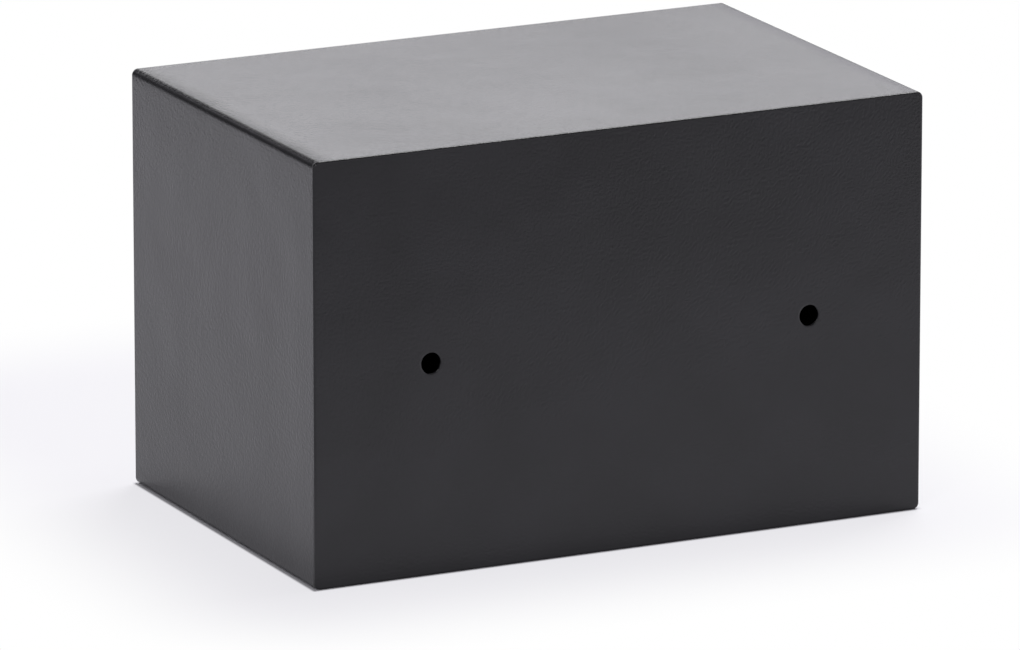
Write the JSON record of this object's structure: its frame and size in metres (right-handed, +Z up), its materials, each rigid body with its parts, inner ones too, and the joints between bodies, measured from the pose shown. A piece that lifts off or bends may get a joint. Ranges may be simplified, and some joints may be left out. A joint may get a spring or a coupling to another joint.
{
  "type": "biometric safe",
  "caption": "Small black steel safe with a flush fingerprint door on hidden hinges, a turning knob with live bolts, an override lock and anchor holes in back and floor.",
  "frame": {"origin": "middle of the underside of the cabinet", "axes": "+X across the safe towards the side that the bolts lock in, +Y towards the back with the wall anchor holes, +Z up"},
  "size_m": [0.31, 0.2256, 0.2],
  "materials": {
    "black_powder_coat": "satin black powder coat with a fine orange peel",
    "grey_felt": "needled felt",
    "brass": "turned brass",
    "zinc_steel": "zinc plated steel",
    "bright_steel": "turned bright steel",
    "nickel": "satin nickel plate",
    "black_plastic": "fine textured moulded plastic",
    "white_plastic": "plain moulded plastic",
    "red_plastic": "gloss moulded plastic",
    "lens_plastic": "frosted light pipe",
    "reader_glass": "dark polished reader window",
    "copper_wire": "enamelled copper wire",
    "green_board": "solder mask",
    "cell_label": "plain shrink sleeve",
    "lead_sleeve": "soft sleeve"
  },
  "bodies": {
    "cabinet": {"body_shell": "black_powder_coat", "back_panel": "black_powder_coat", "front_frame": "black_powder_coat", "hinge_bushes": "brass", "floor_mat": "grey_felt"},
    "knob": {"knob": "black_plastic", "knob_set_screw": "zinc_steel", "knob_spindle": "zinc_steel", "cam_arm": "zinc_steel", "cam_pin": "bright_steel"},
    "carriage": {"bolt_carriage": "zinc_steel", "live_bolt_lower": "bright_steel", "live_bolt_upper": "bright_steel"},
    "plunger": {"plunger": "bright_steel", "plunger_clip": "zinc_steel"},
    "key_plug": {"key_plug": "nickel", "key_cam": "zinc_steel", "key_cam_screw": "zinc_steel"},
    "key_cover": {"key_cover": "black_plastic"},
    "battery_lid": {"battery_lid": "black_plastic"},
    "enroll_button": {"enroll_button": "red_plastic"},
    "door": {"door_plate": "black_powder_coat", "hinge_blocks": "black_powder_coat", "hinge_pins": "zinc_steel", "bolt_guide": "zinc_steel", "guide_studs": "zinc_steel", "guide_clips": "zinc_steel", "spindle_bush": "brass", "spindle_nut": "zinc_steel", "solenoid_frame": "zinc_steel", "solenoid_posts": "zinc_steel", "solenoid_bobbin": "white_plastic", "coil_winding": "copper_wire", "plunger_spring": "bright_steel", "key_cylinder": "nickel", "key_nut": "zinc_steel", "key_escutcheon": "black_plastic", "key_cover_screw": "nickel", "escutcheon": "black_plastic", "escutcheon_screws": "zinc_steel", "panel_board": "green_board", "sensor_bezel": "nickel", "sensor_window": "reader_glass", "sensor_module": "black_plastic", "indicator_lenses": "lens_plastic", "inner_cover": "black_powder_coat", "cover_posts": "zinc_steel", "cover_screws": "zinc_steel", "circuit_board": "green_board", "board_spacers": "brass", "board_screws": "zinc_steel", "board_parts": "black_plastic", "button_switch": "black_plastic", "battery_holder": "black_plastic", "batteries": "cell_label", "battery_contacts": "bright_steel", "battery_lead": "lead_sleeve", "solenoid_lead": "lead_sleeve", "panel_lead": "lead_sleeve"}
  },
  "joints": [
    {"name": "door_hinge", "type": "hinge", "parent": "cabinet", "child": "door", "pos_m": [-0.1236, -0.094, 0.1], "axis": [0, 0, -1], "range_deg": [0, 110]},
    {"name": "knob_turn", "type": "hinge", "parent": "door", "child": "knob", "pos_m": [0.05845, -0.1, 0.1], "axis": [0, 1, 0], "range_deg": [0, 79.05]},
    {"name": "bolt_slide", "type": "slide", "parent": "door", "child": "carriage", "axis": [1, 0, 0], "range_m": [0, 0.014]},
    {"name": "plunger_slide", "type": "slide", "parent": "door", "child": "plunger", "axis": [0, 0, 1], "range_m": [0, 0.005], "deforming": ["plunger_spring"]},
    {"name": "key_turn", "type": "hinge", "parent": "door", "child": "key_plug", "pos_m": [0.02395, -0.1, 0.0813], "axis": [0, -1, 0], "range_deg": [-90, 0]},
    {"name": "key_cover_swing", "type": "hinge", "parent": "door", "child": "key_cover", "pos_m": [0.02395, -0.105, 0.1003], "axis": [0, 1, 0], "range_deg": [0, 100]},
    {"name": "battery_lid_hinge", "type": "hinge", "parent": "door", "child": "battery_lid", "pos_m": [-0.06198, -0.0584, 0.10145], "axis": [1, 0, 0], "range_deg": [0, 100]},
    {"name": "enroll_press", "type": "slide", "parent": "door", "child": "enroll_button", "axis": [0, -1, 0], "range_m": [0, 0.0015], "stiffness_N_per_m": 600}
  ],
  "couplings": [
    {"joint": "knob_turn", "follows": "bolt_slide", "rad_per_m": 98.536}
  ]
}
